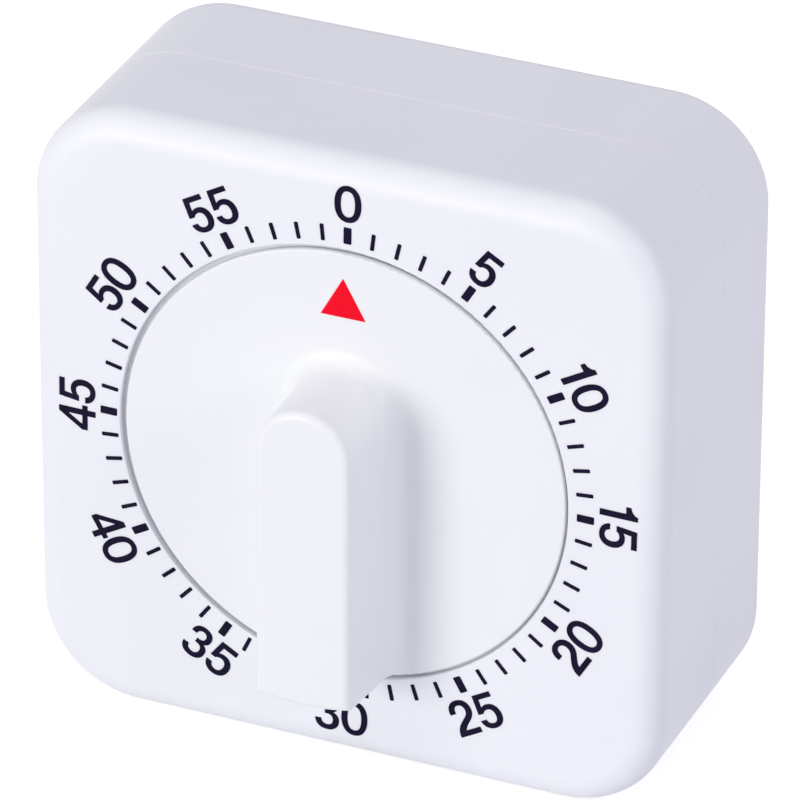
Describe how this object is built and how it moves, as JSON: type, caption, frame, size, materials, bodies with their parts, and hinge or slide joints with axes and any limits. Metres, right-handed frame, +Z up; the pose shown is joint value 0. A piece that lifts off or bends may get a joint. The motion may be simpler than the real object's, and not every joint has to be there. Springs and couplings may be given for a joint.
{
  "type": "wind-up kitchen timer",
  "caption": "Square white wind-up kitchen timer with a round dial, raised moulded grip, red pointer and printed minute scale.",
  "frame": {"origin": "bottom centre of the whole timer's box, with the timer standing on its base", "axes": "+Z up, the dial faces -Y, +X to the right of someone reading the dial"},
  "size_m": [0.07, 0.0402, 0.0694],
  "materials": {
    "case_plastic": "satin injection-moulded ABS, cool white",
    "dial_plastic": "satin injection-moulded ABS, cool white",
    "pointer_red": "pad-printed bright red",
    "scale_ink": "pad-printed navy-black ink",
    "zinc_screw": "bright zinc-plated steel",
    "plate_steel": "stamped, zinc-plated steel sheet",
    "brass": "stamped and turned brass",
    "arbor_steel": "turned steel",
    "spring_steel": "blued spring strip",
    "bell_steel": "nickel-plated steel"
  },
  "bodies": {
    "case": {"front_case": "case_plastic", "rear_cover": "case_plastic", "case_screws": "zinc_screw", "minute_marks": "scale_ink", "five_minute_marks": "scale_ink", "front_plate": "plate_steel", "rear_plate": "plate_steel", "plate_pillars": "brass", "pillar_nuts": "plate_steel", "movement_screws": "zinc_screw", "release_stud": "plate_steel", "release_spring": "spring_steel", "bell": "bell_steel", "bell_post": "bell_steel", "bell_screw": "bell_steel"},
    "dial": {"dial_knob": "dial_plastic", "pointer_mark": "pointer_red", "main_arbor": "arbor_steel", "alarm_cam": "arbor_steel", "arbor_washer": "arbor_steel", "main_wheel": "brass", "ratchet_wheel": "arbor_steel", "ratchet_click": "arbor_steel", "click_spring": "spring_steel"},
    "second_arbor": {"second_pinion": "arbor_steel", "second_wheel": "brass"},
    "third_arbor": {"third_pinion": "arbor_steel", "third_wheel": "brass"},
    "escape_arbor": {"escape_pinion": "arbor_steel", "escape_wheel": "brass"},
    "pallet": {"pallet_arbor": "arbor_steel", "pallet_lever": "brass", "pallet_pins": "arbor_steel", "balance_bar": "brass"},
    "barrel": {"spring_barrel": "brass", "barrel_cover": "brass", "mainspring": "spring_steel"},
    "alarm_arbor": {"alarm_pinion": "arbor_steel", "alarm_star": "brass"},
    "hammer": {"hammer_arbor": "arbor_steel", "hammer_verge": "brass", "hammer_arm": "arbor_steel", "hammer_head": "arbor_steel"},
    "release": {"release_lever": "arbor_steel"}
  },
  "joints": [
    {"name": "dial_turn", "type": "hinge", "parent": "case", "child": "dial", "pos_m": [0, 0.0004, 0.0347], "axis": [0, 1, 0], "range_deg": [0, 354]},
    {"name": "second_turn", "type": "hinge", "parent": "case", "child": "second_arbor", "pos_m": [-0.016, 0.0004, 0.0347], "axis": [0, 1, 0], "range_deg": [-3186, 0]},
    {"name": "third_turn", "type": "hinge", "parent": "case", "child": "third_arbor", "pos_m": [-0.00924, 0.0004, 0.04741], "axis": [0, 1, 0], "range_deg": [0, 25488]},
    {"name": "escape_turn", "type": "hinge", "parent": "case", "child": "escape_arbor", "pos_m": [0.00204, 0.0004, 0.05502], "axis": [0, 1, 0], "range_deg": [-191160, 0]},
    {"name": "pallet_swing", "type": "hinge", "parent": "case", "child": "pallet", "pos_m": [0.01045, 0.0004, 0.05323], "axis": [0, 1, 0], "range_deg": [-5, 5]},
    {"name": "barrel_turn", "type": "hinge", "parent": "case", "child": "barrel", "pos_m": [0, 0.0004, 0.0347], "axis": [0, 1, 0], "range_deg": [0, 360]},
    {"name": "alarm_turn", "type": "hinge", "parent": "case", "child": "alarm_arbor", "pos_m": [0.008, 0.0004, 0.02084], "axis": [0, 1, 0], "range_deg": [-3240, 0]},
    {"name": "hammer_swing", "type": "hinge", "parent": "case", "child": "hammer", "pos_m": [0.00188, 0.0004, 0.01588], "axis": [0, 1, 0], "range_deg": [-5, 5]},
    {"name": "release_swing", "type": "hinge", "parent": "case", "child": "release", "pos_m": [0.01463, 0.0004, 0.03906], "axis": [0, 1, 0], "range_deg": [-4, 3], "stiffness_Nm_per_rad": 0.0005}
  ],
  "couplings": [
    {"joint": "second_turn", "follows": "dial_turn", "ratio": -9},
    {"joint": "third_turn", "follows": "dial_turn", "ratio": 72},
    {"joint": "escape_turn", "follows": "dial_turn", "ratio": -540},
    {"joint": "alarm_turn", "follows": "barrel_turn", "ratio": -9}
  ]
}
